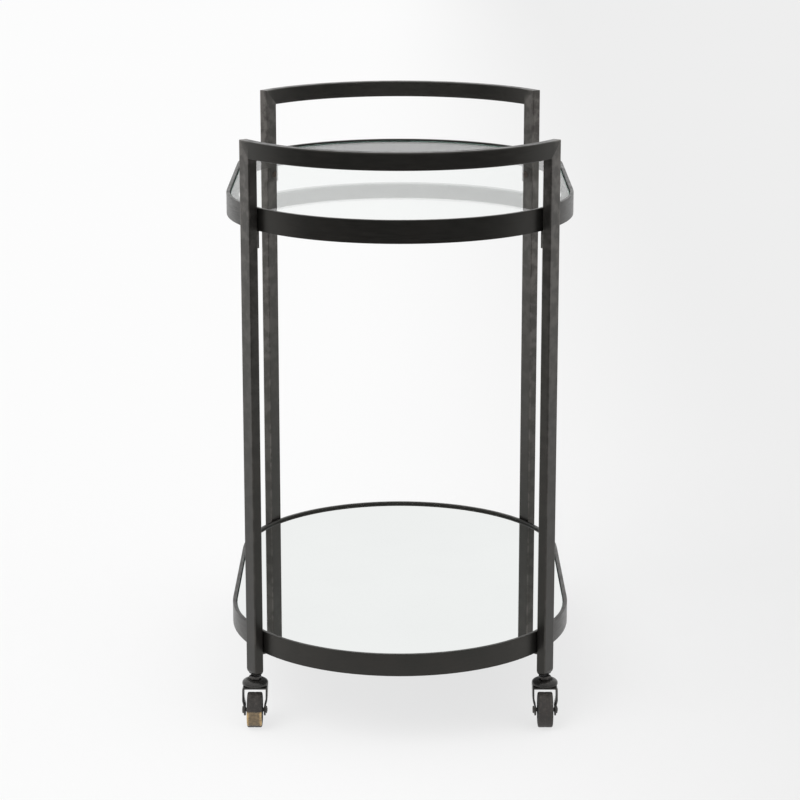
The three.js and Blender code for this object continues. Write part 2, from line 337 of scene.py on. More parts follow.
def settle(piece, body, slot, *nodes):
    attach(piece, body)
    if nodes:
        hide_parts(*nodes)


# Geometry Nodes


def new_tree(name, kind, inputs, outputs):
    tree = bpy.data.node_groups.new(name, kind)
    for in_out, sockets in (("INPUT", inputs), ("OUTPUT", outputs)):
        for label, socket_kind, *default in sockets:
            socket = tree.interface.new_socket(label, in_out=in_out, socket_type=socket_kind)
            if default:
                socket.default_value = default[0]
    return tree, tree.nodes.new("NodeGroupInput"), tree.nodes.new("NodeGroupOutput")


def math_node(tree, operation, first, second=None):
    node = tree.nodes.new("ShaderNodeMath")
    node.operation = operation
    for socket, value in zip(node.inputs, (first, second)):
        if value is None:
            continue
        if isinstance(value, (int, float)):
            socket.default_value = value
        else:
            tree.links.new(value, socket)
    return node.outputs[0]


def realized(tree, instances, given, out):
    realize = tree.nodes.new("GeometryNodeRealizeInstances")
    paint = tree.nodes.new("GeometryNodeSetMaterial")
    tree.links.new(instances, realize.inputs[0])
    tree.links.new(realize.outputs[0], paint.inputs["Geometry"])
    tree.links.new(given.outputs["Finish"], paint.inputs["Material"])
    tree.links.new(paint.outputs[0], out.inputs["Geometry"])


def corner_set_tree():
    """Sets one piece out at the four corners, each copy facing out from its rounded end."""
    tree, given, out = new_tree("Corner set", "GeometryNodeTree", [
        ("Geometry", "NodeSocketGeometry"),
        ("Half Across", "NodeSocketFloat", POST_X),
        ("Half Along", "NodeSocketFloat", POST_Y),
        ("Straight Half", "NodeSocketFloat", STRAIGHT_HALF),
        ("Finish", "NodeSocketMaterial"),
    ], [("Geometry", "NodeSocketGeometry")])
    grid = tree.nodes.new("GeometryNodeMeshGrid")
    grid.inputs["Vertices X"].default_value = 2
    grid.inputs["Vertices Y"].default_value = 2
    tree.links.new(
        math_node(tree, "MULTIPLY", given.outputs["Half Across"], 2.0), grid.inputs["Size X"],
    )
    tree.links.new(
        math_node(tree, "MULTIPLY", given.outputs["Half Along"], 2.0), grid.inputs["Size Y"],
    )
    place = tree.nodes.new("GeometryNodeInputPosition")
    split = tree.nodes.new("ShaderNodeSeparateXYZ")
    tree.links.new(place.outputs[0], split.inputs[0])
    side = math_node(tree, "SIGN", split.outputs["Y"])
    centre = math_node(tree, "MULTIPLY", side, given.outputs["Straight Half"])
    out_y = math_node(tree, "SUBTRACT", split.outputs["Y"], centre)
    outward = tree.nodes.new("ShaderNodeCombineXYZ")
    tree.links.new(split.outputs["X"], outward.inputs["X"])
    tree.links.new(out_y, outward.inputs["Y"])
    turn = tree.nodes.new("FunctionNodeAlignRotationToVector")
    turn.axis = "X"
    turn.pivot_axis = "Z"
    tree.links.new(outward.outputs[0], turn.inputs["Vector"])
    copies = tree.nodes.new("GeometryNodeInstanceOnPoints")
    tree.links.new(grid.outputs["Mesh"], copies.inputs["Points"])
    tree.links.new(given.outputs["Geometry"], copies.inputs["Instance"])
    tree.links.new(turn.outputs[0], copies.inputs["Rotation"])
    realized(tree, copies.outputs[0], given, out)
    return tree


def round_set_tree():
    """Repeats a piece in a ring about Z, each copy facing out."""
    tree, given, out = new_tree("Round set", "GeometryNodeTree", [
        ("Geometry", "NodeSocketGeometry"),
        ("Count", "NodeSocketInt", 6),
        ("Radius", "NodeSocketFloat", 0.012),
        ("Finish", "NodeSocketMaterial"),
    ], [("Geometry", "NodeSocketGeometry")])
    ring = tree.nodes.new("GeometryNodeMeshCircle")
    tree.links.new(given.outputs["Count"], ring.inputs["Vertices"])
    tree.links.new(given.outputs["Radius"], ring.inputs["Radius"])
    place = tree.nodes.new("GeometryNodeInputPosition")
    turn = tree.nodes.new("FunctionNodeAlignRotationToVector")
    turn.axis = "X"
    turn.pivot_axis = "Z"
    tree.links.new(place.outputs[0], turn.inputs["Vector"])
    copies = tree.nodes.new("GeometryNodeInstanceOnPoints")
    tree.links.new(ring.outputs[0], copies.inputs["Points"])
    tree.links.new(given.outputs["Geometry"], copies.inputs["Instance"])
    tree.links.new(turn.outputs[0], copies.inputs["Rotation"])
    realized(tree, copies.outputs[0], given, out)
    return tree


def weld_bead_tree():
    """A row of overlapping weld ripples along X, each a little different from the last."""
    tree, given, out = new_tree("Weld bead", "GeometryNodeTree", [
        ("Geometry", "NodeSocketGeometry"),
        ("Ripples", "NodeSocketInt", 9),
        ("Pitch", "NodeSocketFloat", 0.0011),
        ("Width", "NodeSocketFloat", 0.0016),
        ("Seed", "NodeSocketInt", 7),
        ("Finish", "NodeSocketMaterial"),
    ], [("Geometry", "NodeSocketGeometry")])
    line = tree.nodes.new("GeometryNodeMeshLine")
    tree.links.new(given.outputs["Ripples"], line.inputs["Count"])
    step = tree.nodes.new("ShaderNodeCombineXYZ")
    tree.links.new(given.outputs["Pitch"], step.inputs["X"])
    tree.links.new(step.outputs[0], line.inputs["Offset"])
    ripple = tree.nodes.new("GeometryNodeMeshIcoSphere")
    ripple.inputs["Subdivisions"].default_value = 2
    tree.links.new(given.outputs["Width"], ripple.inputs["Radius"])
    vary = tree.nodes.new("FunctionNodeRandomValue")
    vary.data_type = "FLOAT_VECTOR"
    vary.inputs["Min"].default_value = (0.75, 0.85, 0.50)
    vary.inputs["Max"].default_value = (0.95, 1.10, 0.70)
    tree.links.new(given.outputs["Seed"], vary.inputs["Seed"])
    copies = tree.nodes.new("GeometryNodeInstanceOnPoints")
    tree.links.new(line.outputs[0], copies.inputs["Points"])
    tree.links.new(ripple.outputs["Mesh"], copies.inputs["Instance"])
    tree.links.new(vary.outputs["Value"], copies.inputs["Scale"])
    realized(tree, copies.outputs[0], given, out)
    return tree


def grown(piece, tree, **values):
    """Runs a tree on a piece, with its inputs given by name, and keeps the result as a plain mesh."""
    modifier = piece.modifiers.new(tree.name, "NODES")
    modifier.node_group = tree
    for item in tree.interface.items_tree:
        key = item.name.lower().replace(" ", "_")
        if item.in_out == "INPUT" and key in values:
            modifier[item.identifier] = values[key]
    made_plain(piece)
    shade(piece)
    return piece


def tree_named(name, maker):
    return bpy.data.node_groups.get(name) or maker()


# Shader effects. Each takes the piece's own coordinates.


def noise(tree, vector, scale, detail, rough=0.5):
    node = tree.nodes.new("ShaderNodeTexNoise")
    node.inputs["Scale"].default_value = scale
    node.inputs["Detail"].default_value = detail
    node.inputs["Roughness"].default_value = rough
    tree.links.new(vector, node.inputs["Vector"])
    return node.outputs["Fac"]


def stretched(tree, vector, scale):
    node = tree.nodes.new("ShaderNodeVectorMath")
    node.operation = "MULTIPLY"
    tree.links.new(vector, node.inputs[0])
    if isinstance(scale, tuple):
        node.inputs[1].default_value = scale
    else:
        tree.links.new(scale, node.inputs[1])
    return node.outputs[0]


def ranged(tree, value, low, high, to_low=0.0, to_high=1.0):
    node = tree.nodes.new("ShaderNodeMapRange")
    node.interpolation_type = "SMOOTHSTEP"
    tree.links.new(value, node.inputs["Value"])
    for label, number in (
        ("From Min", low), ("From Max", high), ("To Min", to_low), ("To Max", to_high),
    ):
        node.inputs[label].default_value = number
    return node.outputs["Result"]


def mixed(tree, factor, first, second, blend="MIX"):
    node = tree.nodes.new("ShaderNodeMix")
    node.data_type = "RGBA"
    node.blend_type = blend
    for socket, value in zip(
        (node.inputs[0], node.inputs[6], node.inputs[7]), (factor, first, second),
    ):
        if isinstance(value, bpy.types.NodeSocket):
            tree.links.new(value, socket)
        elif isinstance(value, (int, float)):
            socket.default_value = value
        else:
            socket.default_value = (*value[:3], 1.0)
    return node.outputs[2]


def brushed_group():
    """Fine brush lines along a piece, with broader clouding under them."""
    tree, given, out = new_tree("Brushed finish", "ShaderNodeTree", [
        ("Coordinate", "NodeSocketVector"),
        ("Stretch", "NodeSocketVector", (1.0, 1.0, 1.0)),
    ], [("Tone", "NodeSocketFloat"), ("Height", "NodeSocketFloat"), ("Cloud", "NodeSocketFloat")])
    lines = noise(
        tree, stretched(tree, given.outputs["Coordinate"], given.outputs["Stretch"]), 1.0, 5.0,
        0.62,
    )
    cloud = noise(tree, given.outputs["Coordinate"], 22.0, 4.0, 0.55)
    tree.links.new(ranged(tree, lines, 0.30, 0.72), out.inputs["Tone"])
    tree.links.new(lines, out.inputs["Height"])
    tree.links.new(ranged(tree, cloud, 0.36, 0.66), out.inputs["Cloud"])
    return tree


def grain_group():
    """The fine orange-peel grain of a sprayed or moulded skin."""
    tree, given, out = new_tree("Skin grain", "ShaderNodeTree", [
        ("Coordinate", "NodeSocketVector"),
        ("Size", "NodeSocketFloat", 1800.0),
    ], [("Height", "NodeSocketFloat"), ("Fleck", "NodeSocketFloat")])
    fine = tree.nodes.new("ShaderNodeTexNoise")
    fine.inputs["Detail"].default_value = 3.0
    cells = tree.nodes.new("ShaderNodeTexVoronoi")
    for node in (fine, cells):
        tree.links.new(given.outputs["Coordinate"], node.inputs["Vector"])
        tree.links.new(given.outputs["Size"], node.inputs["Scale"])
    tree.links.new(fine.outputs["Fac"], out.inputs["Height"])
    tree.links.new(
        ranged(tree, cells.outputs["Distance"], 0.0, 0.28, 1.0, 0.0), out.inputs["Fleck"],
    )
    return tree


def wear_group():
    """Where the finish has rubbed thin on outer edges."""
    tree, given, out = new_tree("Edge wear", "ShaderNodeTree", [
        ("Coordinate", "NodeSocketVector"),
        ("Amount", "NodeSocketFloat", 0.5),
    ], [("Mask", "NodeSocketFloat")])
    shape = tree.nodes.new("ShaderNodeNewGeometry")
    edge = ranged(tree, shape.outputs["Pointiness"], 0.53, 0.64)
    patchy = ranged(tree, noise(tree, given.outputs["Coordinate"], 60.0, 5.0, 0.6), 0.42, 0.62)
    both = math_node(tree, "MULTIPLY", edge, math_node(tree, "MULTIPLY_ADD", patchy, 0.7))
    tree.links.new(math_node(tree, "MULTIPLY", both, given.outputs["Amount"]), out.inputs["Mask"])
    return tree


def dust_group():
    """A thin settled dust on faces that look up, and finger smudges."""
    tree, given, out = new_tree("Settled dust", "ShaderNodeTree", [
        ("Coordinate", "NodeSocketVector"),
        ("Amount", "NodeSocketFloat", 0.3),
    ], [("Mask", "NodeSocketFloat"), ("Smudge", "NodeSocketFloat")])
    shape = tree.nodes.new("ShaderNodeNewGeometry")
    split = tree.nodes.new("ShaderNodeSeparateXYZ")
    tree.links.new(shape.outputs["Normal"], split.inputs[0])
    up = ranged(tree, split.outputs["Z"], 0.55, 1.0)
    specks = ranged(tree, noise(tree, given.outputs["Coordinate"], 340.0, 6.0, 0.7), 0.48, 0.74)
    tree.links.new(math_node(
        tree, "MULTIPLY", math_node(tree, "MULTIPLY", up, specks), given.outputs["Amount"],
    ), out.inputs["Mask"])
    smudge = ranged(tree, noise(tree, given.outputs["Coordinate"], 9.0, 7.0, 0.62), 0.50, 0.74)
    tree.links.new(smudge, out.inputs["Smudge"])
    return tree


def use_group(tree, name, maker, **values):
    node = tree.nodes.new("ShaderNodeGroup")
    node.node_tree = tree_named(name, maker)
    for key, value in values.items():
        socket = node.inputs[key.capitalize()]
        if isinstance(value, bpy.types.NodeSocket):
            tree.links.new(value, socket)
        else:
            socket.default_value = value
    return node.outputs


def new_finish(name, **constants):
    """A material with its Principled shader, whose plain values are set on the shader itself."""
    material = bpy.data.materials.new(name)
    material.use_nodes = True
    tree = material.node_tree
    shader = tree.nodes["Principled BSDF"]
    for label, value in constants.items():
        shader.inputs[label.replace("_", " ").title().replace("Ior", "IOR")].default_value = value
    coordinate = tree.nodes.new("ShaderNodeTexCoord").outputs["Object"]
    return material, tree, shader, coordinate


def bump(tree, shader, height, strength, distance):
    node = tree.nodes.new("ShaderNodeBump")
    node.inputs["Strength"].default_value = strength
    node.inputs["Distance"].default_value = distance
    tree.links.new(height, node.inputs["Height"])
    feed(tree, node.outputs[0], shader, "Normal")


def feed(tree, value, shader, socket):
    tree.links.new(value, shader.inputs[socket])


def brushed(tree, coordinate, stretch):
    return use_group(tree, "Brushed finish", brushed_group, coordinate=coordinate, stretch=stretch)


def grained(tree, coordinate, size):
    return use_group(tree, "Skin grain", grain_group, coordinate=coordinate, size=size)


def worn_edges(tree, coordinate, amount):
    return use_group(tree, "Edge wear", wear_group, coordinate=coordinate, amount=amount)


def dusted(tree, coordinate, amount):
    return use_group(tree, "Settled dust", dust_group, coordinate=coordinate, amount=amount)


BRUSH_ALONG_POST = (1500.0, 1500.0, 42.0)
BRUSH_ROUND_BAND = (46.0, 46.0, 1500.0)


def frame_finish(name, stretch):
    """Satin black over brushed steel."""
    choice = bpy.context.scene.barcart_finishes
    material, tree, shader, coordinate = new_finish(
        name, metallic=0.9, coat_weight=0.12, coat_roughness=0.28,
    )
    brush = brushed(tree, coordinate, stretch)
    grain = grained(tree, coordinate, 1500.0)
    wear = worn_edges(tree, coordinate, 0.55)
    dust = dusted(tree, coordinate, 0.20)
    base = mixed(
        tree, math_node(tree, "MULTIPLY", brush["Cloud"], 0.6), choice.frame_colour,
        choice.frame_warm,
    )
    lined = mixed(tree, math_node(
        tree, "MULTIPLY", brush["Tone"], 0.45,
    ), base, [c * 1.45 for c in choice.frame_colour])
    marked = mixed(tree, wear["Mask"], lined, (0.34, 0.32, 0.30))
    dusty = mixed(tree, dust["Mask"], marked, (0.40, 0.39, 0.37))
    feed(tree, dusty, shader, "Base Color")
    rough = choice.frame_rough
    tone = ranged(tree, brush["Tone"], 0.0, 1.0, rough - 0.06, rough + 0.10)
    smudge = math_node(tree, "MULTIPLY", dust["Smudge"], 0.05)
    feed(tree, math_node(tree, "ADD", tone, smudge), shader, "Roughness")
    height = math_node(
        tree, "ADD", math_node(tree, "MULTIPLY", brush["Height"], 0.7),
        math_node(tree, "MULTIPLY", grain["Height"], 0.4),
    )
    bump(tree, shader, height, 0.22, 0.00025)
    return material


def castor_finish():
    choice = bpy.context.scene.barcart_finishes
    material, tree, shader, coordinate = new_finish(
        "castor_steel", metallic=0.85, coat_weight=0.2, coat_roughness=0.2,
    )
    brush = brushed(tree, coordinate, (420.0, 420.0, 420.0))
    wear = worn_edges(tree, coordinate, 0.2)
    dust = dusted(tree, coordinate, 0.30)
    base = mixed(tree, brush["Cloud"], choice.castor_colour, [c * 1.9 for c in choice.castor_colour])
    marked = mixed(tree, wear["Mask"], base, (0.38, 0.33, 0.28))
    feed(tree, mixed(tree, dust["Mask"], marked, (0.30, 0.27, 0.23)), shader, "Base Color")
    feed(tree, ranged(tree, brush["Tone"], 0.0, 1.0, 0.24, 0.44), shader, "Roughness")
    bump(tree, shader, brush["Height"], 0.25, 0.0003)
    return material


def bolt_finish():
    choice = bpy.context.scene.barcart_finishes
    material, tree, shader, coordinate = new_finish("bolt_steel", metallic=0.95)
    brush = brushed(tree, coordinate, (700.0, 700.0, 700.0))
    wear = worn_edges(tree, coordinate, 0.9)
    base = mixed(tree, brush["Tone"], [c * 0.45 for c in choice.bolt_colour], choice.bolt_colour)
    feed(tree, mixed(tree, wear["Mask"], base, (0.46, 0.36, 0.28)), shader, "Base Color")
    feed(tree, ranged(tree, brush["Cloud"], 0.0, 1.0, 0.26, 0.46), shader, "Roughness")
    bump(tree, shader, brush["Height"], 0.2, 0.0002)
    return material


def plastic_finish():
    choice = bpy.context.scene.barcart_finishes
    material, tree, shader, coordinate = new_finish("black_plastic", ior=1.5)
    grain = grained(tree, coordinate, 1400.0)
    dust = dusted(tree, coordinate, 0.35)
    base = mixed(tree, grain["Fleck"], choice.plastic_colour, [c * 1.8 for c in choice.plastic_colour])
    feed(tree, mixed(tree, dust["Mask"], base, (0.20, 0.19, 0.18)), shader, "Base Color")
    feed(tree, ranged(tree, grain["Height"], 0.3, 0.7, 0.42, 0.58), shader, "Roughness")
    bump(tree, shader, grain["Height"], 0.35, 0.0003)
    return material


def tread_finish(name, painted_light_patch):
    """Black rubber.

    With the patch it shows bronze low on its leading side, brightest at its two shoulders: the patch
    is painted light and the bright shoulders are painted highlights."""
    choice = bpy.context.scene.barcart_finishes
    material, tree, shader, coordinate = new_finish(name, ior=1.5)
    grain = grained(tree, coordinate, 1100.0)
    dust = dusted(tree, coordinate, 0.4)
    scuffs = noise(tree, coordinate, 240.0, 6.0, 0.7)
    base = mixed(tree, ranged(
        tree, scuffs, 0.42, 0.68,
    ), choice.rubber_colour, [c * 2.1 for c in choice.rubber_colour])
    base = mixed(tree, dust["Mask"], base, (0.16, 0.14, 0.12))
    rough = ranged(tree, scuffs, 0.3, 0.7, 0.55, 0.8)
    # Painted light: a bronze patch low on the tread's leading side.
    if painted_light_patch:
        split = tree.nodes.new("ShaderNodeSeparateXYZ")
        tree.links.new(coordinate, split.inputs[0])
        ragged = math_node(
            tree, "MULTIPLY",
            math_node(tree, "SUBTRACT", noise(tree, coordinate, 420.0, 5.0, 0.7), 0.5), 0.008,
        )
        height = math_node(tree, "ADD", split.outputs["Z"], ragged)
        above = ranged(tree, height, 6.5 * MM, 8.5 * MM)
        below = ranged(tree, height, 28.5 * MM, 31 * MM, 1.0, 0.0)
        front = ranged(
            tree, split.outputs["Y"], -POST_Y - TRAIL - 2 * MM, -POST_Y - TRAIL + 3 * MM, 1.0, 0.0,
        )
        patch = math_node(tree, "MULTIPLY", math_node(tree, "MULTIPLY", above, below), front)
        reach = math_node(tree, "ABSOLUTE", math_node(tree, "ADD", split.outputs["X"], POST_X))
        shoulder = ranged(tree, math_node(tree, "ADD", reach, ragged), 6.5 * MM, 10 * MM)
        bronze = mixed(tree, ranged(
            tree, scuffs, 0.40, 0.62,
        ), [c * 0.62 for c in choice.painted_light_colour], choice.painted_light_colour)
        # Painted highlight: the two shoulders of the patch turn golden.
        bronze = mixed(
            tree,
            math_node(tree, "MULTIPLY", shoulder, ranged(tree, scuffs, 0.38, 0.58, 0.25, 1.0)),
            bronze, (0.62, 0.42, 0.19),
        )
        base = mixed(tree, patch, base, bronze)
    feed(tree, base, shader, "Base Color")
    feed(tree, rough, shader, "Roughness")
    bump(tree, shader, math_node(tree, "ADD", grain["Height"], scuffs), 0.4, 0.0004)
    return material


def glass_finish():
    choice = bpy.context.scene.barcart_finishes
    material, tree, shader, coordinate = new_finish(
        "clear_glass", transmission_weight=1.0, ior=1.16, specular_ior_level=0.25,
    )
    dust = dusted(tree, coordinate, 0.10)
    tint = mixed(tree, dust["Mask"], choice.glass_tint, [c * 0.97 for c in choice.glass_tint])
    feed(tree, tint, shader, "Base Color")
    feed(tree, ranged(tree, dust["Smudge"], 0.0, 1.0, 0.0, 0.012), shader, "Roughness")
    return material


def glass_edge_finish():
    choice = bpy.context.scene.barcart_finishes
    material, tree, shader, coordinate = new_finish(
        "glass_edge", transmission_weight=0.35, ior=1.5,
    )
    ground = noise(tree, stretched(tree, coordinate, (60.0, 60.0, 900.0)), 1.0, 4.0, 0.6)
    base = mixed(tree, ranged(
        tree, ground, 0.35, 0.65,
    ), choice.glass_edge, [min(c * 1.35, 1) for c in choice.glass_edge])
    feed(tree, base, shader, "Base Color")
    feed(tree, ranged(tree, ground, 0.3, 0.7, 0.10, 0.24), shader, "Roughness")
    return material


def mirror_finish():
    choice = bpy.context.scene.barcart_finishes
    material, tree, shader, coordinate = new_finish("mirror_glass", metallic=1.0)
    dust = dusted(tree, coordinate, 0.16)
    haze = noise(tree, coordinate, 5.0, 5.0, 0.5)
    base = mixed(tree, ranged(
        tree, haze, 0.35, 0.68,
    ), choice.mirror_tint, [c * 0.985 for c in choice.mirror_tint])
    feed(tree, mixed(tree, dust["Mask"], base, (0.80, 0.80, 0.79)), shader, "Base Color")
    feed(tree, ranged(tree, dust["Smudge"], 0.0, 1.0, 0.008, 0.035), shader, "Roughness")
    return material


def mirror_back_finish():
    """Grey backing paint over the silvering."""
    material, tree, shader, coordinate = new_finish("mirror_backing", ior=1.45)
    grain = grained(tree, coordinate, 500.0)
    runs = noise(tree, stretched(tree, coordinate, (4.0, 90.0, 4.0)), 1.0, 4.0, 0.5)
    base = mixed(tree, ranged(tree, runs, 0.35, 0.65), (0.15, 0.155, 0.16), (0.20, 0.205, 0.21))
    feed(tree, mixed(tree, grain["Fleck"], base, (0.26, 0.26, 0.265)), shader, "Base Color")
    feed(tree, ranged(tree, grain["Height"], 0.3, 0.7, 0.5, 0.66), shader, "Roughness")
    bump(tree, shader, grain["Height"], 0.2, 0.0003)
    return material


def weld_finish():
    material, tree, shader, coordinate = new_finish("painted_weld", metallic=0.8)
    brush = brushed(tree, coordinate, (500.0, 500.0, 500.0))
    feed(
        tree, mixed(tree, brush["Tone"], (0.030, 0.028, 0.027), (0.075, 0.070, 0.065)), shader,
        "Base Color",
    )
    feed(tree, ranged(tree, brush["Cloud"], 0.0, 1.0, 0.35, 0.5), shader, "Roughness")
    bump(tree, shader, brush["Height"], 0.3, 0.0003)
    return material


def floor_finish():
    """Pale floor, bright by its own light so that shadows stay faint.

    In reflections it is darker towards the front: a painted shade that shows only in reflections."""
    choice = bpy.context.scene.barcart_finishes
    material, tree, shader, coordinate = new_finish(
        "studio_floor", ior=1.3, specular_ior_level=0.0, emission_strength=1.0,
    )
    split = tree.nodes.new("ShaderNodeSeparateXYZ")
    tree.links.new(coordinate, split.inputs[0])
    cloud = noise(tree, coordinate, 0.6, 3.0, 0.5)
    base = mixed(tree, ranged(
        tree, cloud, 0.3, 0.7,
    ), choice.floor_colour, [c * 0.99 for c in choice.floor_colour])
    # The glow fades towards +X: a painted fall-off of light across the floor.
    glow = mixed(tree, ranged(
        tree, split.outputs["X"], -0.20, 0.85,
    ), choice.floor_glow, [c * 0.835 for c in choice.floor_glow])
    # Glossy rays see the floor at the front painted dark: painted shade that shows only in
    # reflections.
    path = tree.nodes.new("ShaderNodeLightPath").outputs
    mirrored = math_node(tree, "SUBTRACT", path["Is Glossy Ray"], path["Is Transmission Ray"])
    front = ranged(tree, split.outputs["Y"], -1.9, -0.3, 1.0, 0.0)
    unlit = math_node(tree, "MAXIMUM", math_node(tree, "MULTIPLY", mirrored, front), 0.0)
    feed(tree, mixed(tree, unlit, base, (0.02, 0.02, 0.02)), shader, "Base Color")
    feed(tree, mixed(tree, unlit, glow, (0.07, 0.07, 0.07)), shader, "Emission Color")
    feed(tree, ranged(tree, cloud, 0.3, 0.7, 0.85, 0.9), shader, "Roughness")
    return material


FINISHES = {
    "post": lambda: frame_finish("black_metal_upright", BRUSH_ALONG_POST),
    "band": lambda: frame_finish("black_metal_round", BRUSH_ROUND_BAND),
    "castor": castor_finish,
    "bolt": bolt_finish,
    "plastic": plastic_finish,
    "tread": lambda: tread_finish("tread_rubber", False),
    # The second tread finish carries the patch of painted light and its painted highlights.
    "worn tread": lambda: tread_finish("tread_rubber_worn", True),
    "glass": glass_finish,
    "glass edge": glass_edge_finish,
    "mirror": mirror_finish,
    "mirror back": mirror_back_finish,
    "weld": weld_finish,
    "floor": floor_finish,
}
made_finishes = {}


def finish_of(name):
    if name not in made_finishes:
        made_finishes[name] = FINISHES[name]()
    return made_finishes[name]


# Operators, one for each piece or group of like pieces


class BARCART_OT_rings(bpy.types.Operator):
    """Rolls the two flat shelf bands"""

    bl_idname = "barcart.rings"
    bl_label = "Shelf bands"

    def execute(self, context):
        sizes = context.scene.barcart_sizes
        for name, node, (low, high) in (
            ("upper_shelf_band", "upper_ring", UPPER_RING),
            ("lower_shelf_band", "lower_ring", LOWER_RING),
        ):
            bm = bmesh.new()
            oval_band(bm, high.x - sizes.band_wall, high.x, low.z, high.z, sizes.band_soft)
            settle(make_object(name, bm, finish_of("band")), "root", "black_metal", node)
        return {"FINISHED"}


class BARCART_OT_ledges(bpy.types.Operator):
    """Adds the flat ledges that carry the panels, with the bolt lugs of the lower one"""

    bl_idname = "barcart.ledges"
    bl_label = "Panel ledges"

    def execute(self, context):
        soft = 0.4 * MM
        width = 12 * MM
        for name, node, (low, high), lugs in (
            ("upper_ledge_strip", "upper_glass_ledge", UPPER_LEDGE, False),
            ("lower_ledge_strip", "lower_mirror_ledge", LOWER_LEDGE, True),
        ):
            bm = bmesh.new()
            oval_band(bm, high.x - width, high.x, low.z, high.z, soft)
            if lugs:
                outline = lug_outline(high.x - width / 2, TAB_BOLT_RADIUS, LUG_HALF)
                hole = circle(TAB_BOLT_RADIUS, 0, HOLE_RADIUS)
                for _, end, side in CORNERS:
                    drilled_plate(
                        bm, outline, hole, low.z + 0.05 * MM, high.z - 0.05 * MM,
                        corner_place(end, side),
                    )
            settle(make_object(name, bm, finish_of("band")), "root", "black_metal", node)
        return {"FINISHED"}


class BARCART_OT_panels(bpy.types.Operator):
    """Lays the clear glass and the mirror, each with its ground edge"""

    bl_idname = "barcart.panels"
    bl_label = "Glass and mirror"

    def execute(self, context):
        arris = context.scene.barcart_sizes.glass_arris
        for name, node, (low, high), top, bottom, slot in (
            ("upper_glass_panel", "upper_glass", UPPER_GLASS, "glass", "glass", "clear_glass"),
            (
                "lower_mirror_panel", "lower_mirror", LOWER_MIRROR, "mirror", "mirror back",
                "mirror_glass",
            ),
        ):
            bm = bmesh.new()
            edge = (
                (high.x - arris, low.z), (high.x, low.z + arris), (high.x, high.z - arris),
                (high.x - arris, high.z),
            )
            loop_skin(bm, [oval_loop(radius, z) for radius, z in edge])
            piece = make_object(
                name, bm, finish_of(top), finish_of("glass edge"), finish_of(bottom),
            )
            for face in piece.data.polygons:
                face.material_index = 0 if face.normal.z > 0.9 else 2 if face.normal.z < -0.9 else 1
            settle(piece, "root", slot, node)
        return {"FINISHED"}


class BARCART_OT_posts(bpy.types.Operator):
    """Cuts the four posts from rectangular tube, mitred at the top and drawn in at the foot"""

    bl_idname = "barcart.posts"
    bl_label = "Posts"

    def execute(self, context):
        sizes = context.scene.barcart_sizes
        wall, taper = sizes.tube_wall, sizes.foot_taper
        foot = POST[0].z
        mitre = HANDLE[1].z - sizes.tube_wide / 2

        def section(inset, heights):
            corner = max(sizes.tube_corner - inset, 0.4 * MM)
            outline = rounded_rectangle(
                sizes.tube_thin - 2 * inset, sizes.tube_wide - 2 * inset, corner,
            )
            return [place @ Vector((POST_RADIUS + x, y, heights(y))) for x, y in outline]

        for name, end, side in CORNERS:
            place = corner_place(end, side)
            rise = -end * side

            def top(y, rise=rise):
                return mitre + rise * y

            bm = bmesh.new()
            loop_skin(bm, [
                section(taper, lambda y: foot),
                section(taper * 0.55, lambda y: foot + 1.4 * MM),
                section(taper * 0.15, lambda y: foot + 3.6 * MM),
                section(0, lambda y: foot + 5.4 * MM),
                section(0, top),
                section(wall, top),
                section(wall, lambda y: foot + 5.4 * MM),
                section(taper + wall, lambda y: foot),
            ], closed=True)
            piece = make_object(f"post_tube_{name}", bm, finish_of("post"))
            settle(piece, "root", "black_metal", f"post_{name}")
        return {"FINISHED"}


class BARCART_OT_handles(bpy.types.Operator):
    """Bends the two handles round the ends of the cart and mitres them to their posts"""

    bl_idname = "barcart.handles"
    bl_label = "Handles"

    def execute(self, context):
        sizes = context.scene.barcart_sizes
        middle = HANDLE[1].z - sizes.tube_wide / 2
        reach = POST_ANGLE - math.asin(sizes.tube_wide / 2 / POST_RADIUS)
        steps = 56
        for name, node, end in (
            ("front_handle_tube", "handle_front", -1), ("rear_handle_tube", "handle_rear", 1),
        ):

            def point(angle, out, up, slide=0.0, end=end):
                radius = POST_RADIUS + out
                x = radius * math.sin(angle) + math.copysign(1, angle) * slide * math.cos(angle)
                y = radius * math.cos(angle) - slide * math.sin(abs(angle))
                return (x, end * (STRAIGHT_HALF + y), middle + up)

            def along(inset):
                corner = max(sizes.tube_corner - inset, 0.4 * MM)
                outline = rounded_rectangle(
                    sizes.tube_thin - 2 * inset, sizes.tube_wide - 2 * inset, corner,
                )
                loops = [[point(-POST_ANGLE, x, z, z) for x, z in outline]]
                for i in range(steps + 1):
                    angle = reach * (2 * i / steps - 1)
                    loops.append([point(angle, x, z) for x, z in outline])
                loops.append([point(POST_ANGLE, x, z, z) for x, z in outline])
                return loops

            bm = bmesh.new()
            loop_skin(bm, along(0) + along(sizes.tube_wall)[::-1], closed=True)
            settle(make_object(name, bm, finish_of("band")), "root", "black_metal", node)
        return {"FINISHED"}


